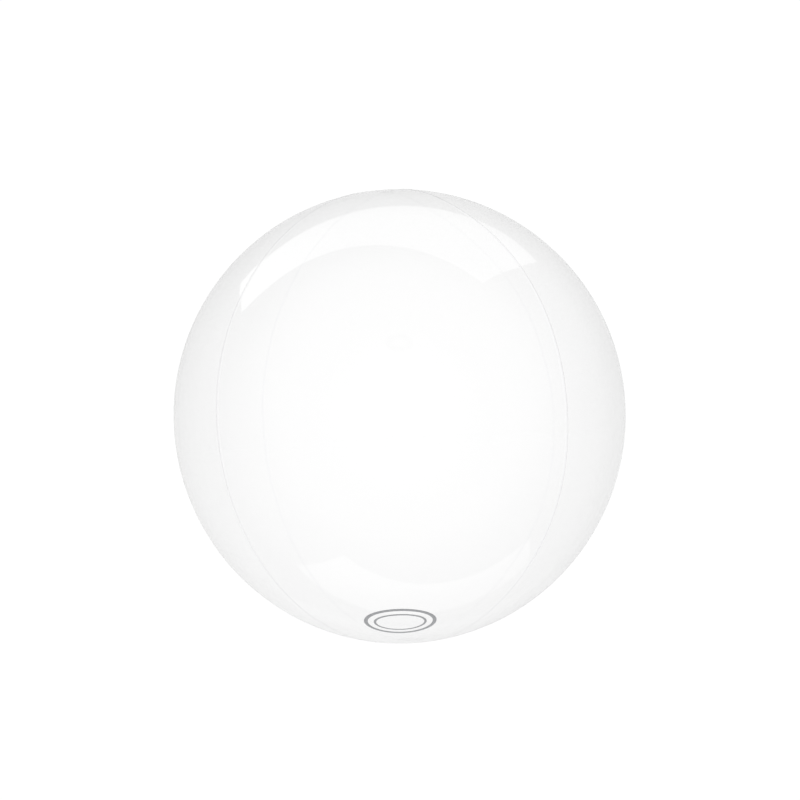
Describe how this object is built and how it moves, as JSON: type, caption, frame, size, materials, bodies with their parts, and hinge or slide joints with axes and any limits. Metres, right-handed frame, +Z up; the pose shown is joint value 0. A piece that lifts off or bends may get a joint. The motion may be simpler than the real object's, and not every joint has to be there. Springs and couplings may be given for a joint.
{
  "type": "clear bubble balloon",
  "caption": "Clear film ball balloon of welded gores with raised seams, round welds at its poles and a small flat spot to rest on.",
  "frame": {"origin": "middle of the flat spot that the ball rests on", "axes": "+Z up through the poles where the seams meet, -Y out through the middle of the front gore, so the seams stand at 45 degrees to X and Y"},
  "size_m": [0.508, 0.508, 0.51],
  "materials": {
    "clear_film": "clear glossy film"
  },
  "bodies": {
    "root": {"balloon_envelope": "clear_film"}
  },
  "joints": []
}
